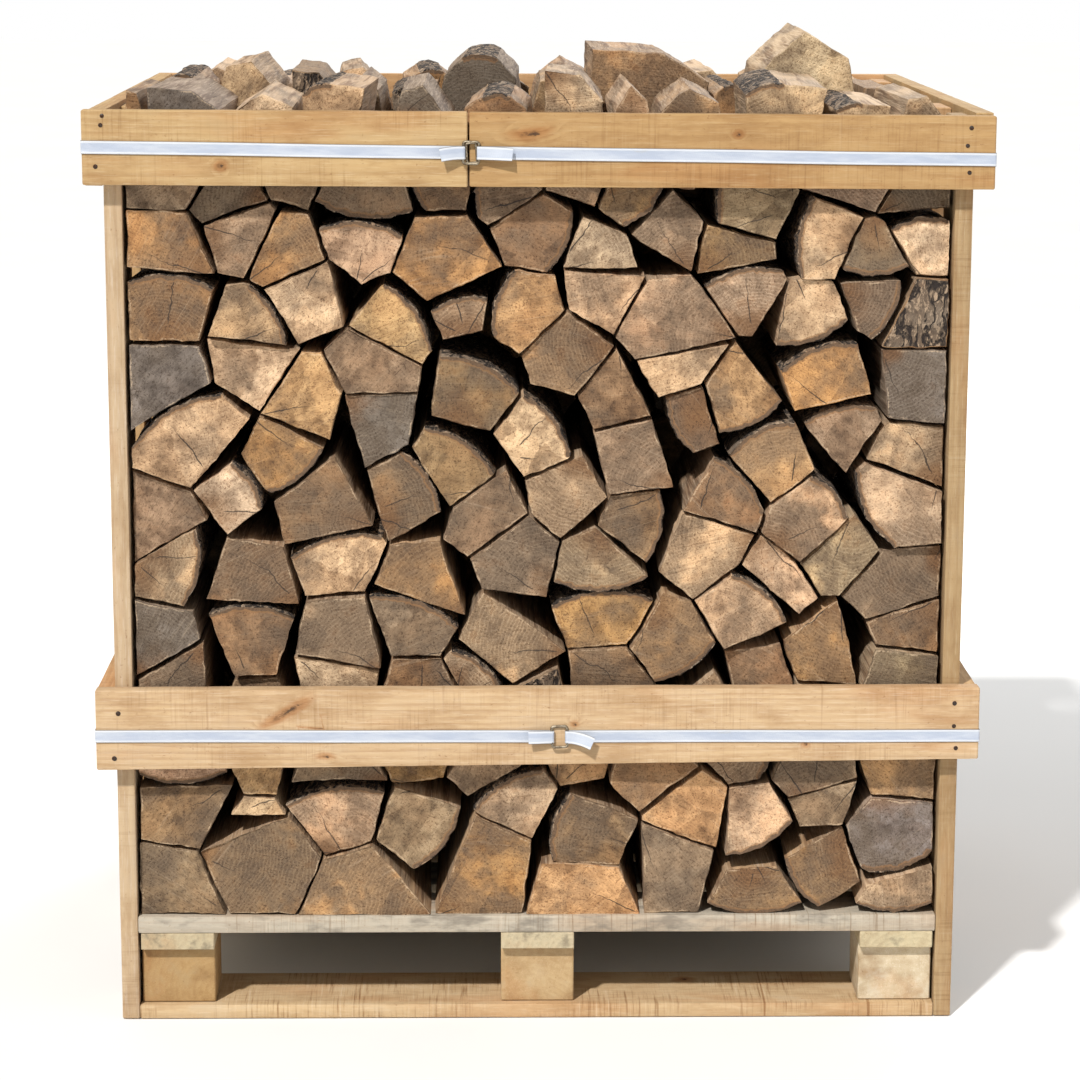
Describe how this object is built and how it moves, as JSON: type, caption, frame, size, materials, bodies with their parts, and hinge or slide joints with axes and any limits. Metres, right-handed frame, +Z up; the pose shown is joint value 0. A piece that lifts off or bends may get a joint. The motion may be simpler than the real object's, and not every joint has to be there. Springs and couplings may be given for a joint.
{
  "type": "firewood crate",
  "caption": "Open timber crate on a block pallet, stacked end-on with split firewood, held by two belts of rails with tightened straps.",
  "frame": {"origin": "on the ground under the middle of the crate", "axes": "+Z up, -Y towards the front where the log ends and both strap buckles show, +X to the right seen from the front"},
  "size_m": [1.0904, 0.951, 1.2198],
  "materials": {
    "rail_timber": "sawn spruce, fresh and pale yellow",
    "upright_timber": "sawn spruce, fresh and pale yellow",
    "pallet_timber": "sawn softwood, a little greyed",
    "firewood": "split hardwood, dry, with bark",
    "strap_weave": "white woven polyester strapping, slightly glossy",
    "buckle_wire": "dull zinc-coated wire"
  },
  "bodies": {
    "root": {"bottom_board_front": "pallet_timber", "bottom_board_middle": "pallet_timber", "bottom_board_back": "pallet_timber", "block_front_left": "pallet_timber", "block_middle_left": "pallet_timber", "block_back_left": "pallet_timber", "stringer_left": "pallet_timber", "block_front_centre": "pallet_timber", "block_middle_centre": "pallet_timber", "block_back_centre": "pallet_timber", "stringer_centre": "pallet_timber", "block_front_right": "pallet_timber", "block_middle_right": "pallet_timber", "block_back_right": "pallet_timber", "stringer_right": "pallet_timber", "deck_board_1": "pallet_timber", "deck_board_2": "pallet_timber", "deck_board_3": "pallet_timber", "deck_board_4": "pallet_timber", "deck_board_5": "pallet_timber", "deck_board_6": "pallet_timber", "deck_board_7": "pallet_timber", "upright_left_1": "upright_timber", "upright_right_1": "upright_timber", "upright_left_2": "upright_timber", "upright_right_2": "upright_timber", "upright_left_3": "upright_timber", "upright_right_3": "upright_timber", "upright_left_4": "upright_timber", "upright_right_4": "upright_timber", "upright_left_5": "upright_timber", "upright_right_5": "upright_timber", "top_rail_front_left": "rail_timber", "top_rail_front_right": "rail_timber", "mid_rail_front": "rail_timber", "top_rail_back": "rail_timber", "top_rail_left": "rail_timber", "top_rail_right": "rail_timber", "mid_rail_back": "rail_timber", "mid_rail_left": "rail_timber", "mid_rail_right": "rail_timber", "top_strap": "strap_weave", "top_buckle": "buckle_wire", "mid_strap": "strap_weave", "mid_buckle": "buckle_wire", "log_row_front": "firewood", "log_row_middle": "firewood", "log_row_back": "firewood", "crown_log_1": "firewood", "crown_log_2": "firewood", "crown_log_3": "firewood", "crown_log_4": "firewood", "crown_log_5": "firewood", "crown_log_6": "firewood", "crown_log_7": "firewood", "crown_log_8": "firewood", "crown_log_9": "firewood", "crown_log_10": "firewood", "crown_log_11": "firewood", "crown_log_12": "firewood"}
  },
  "joints": []
}
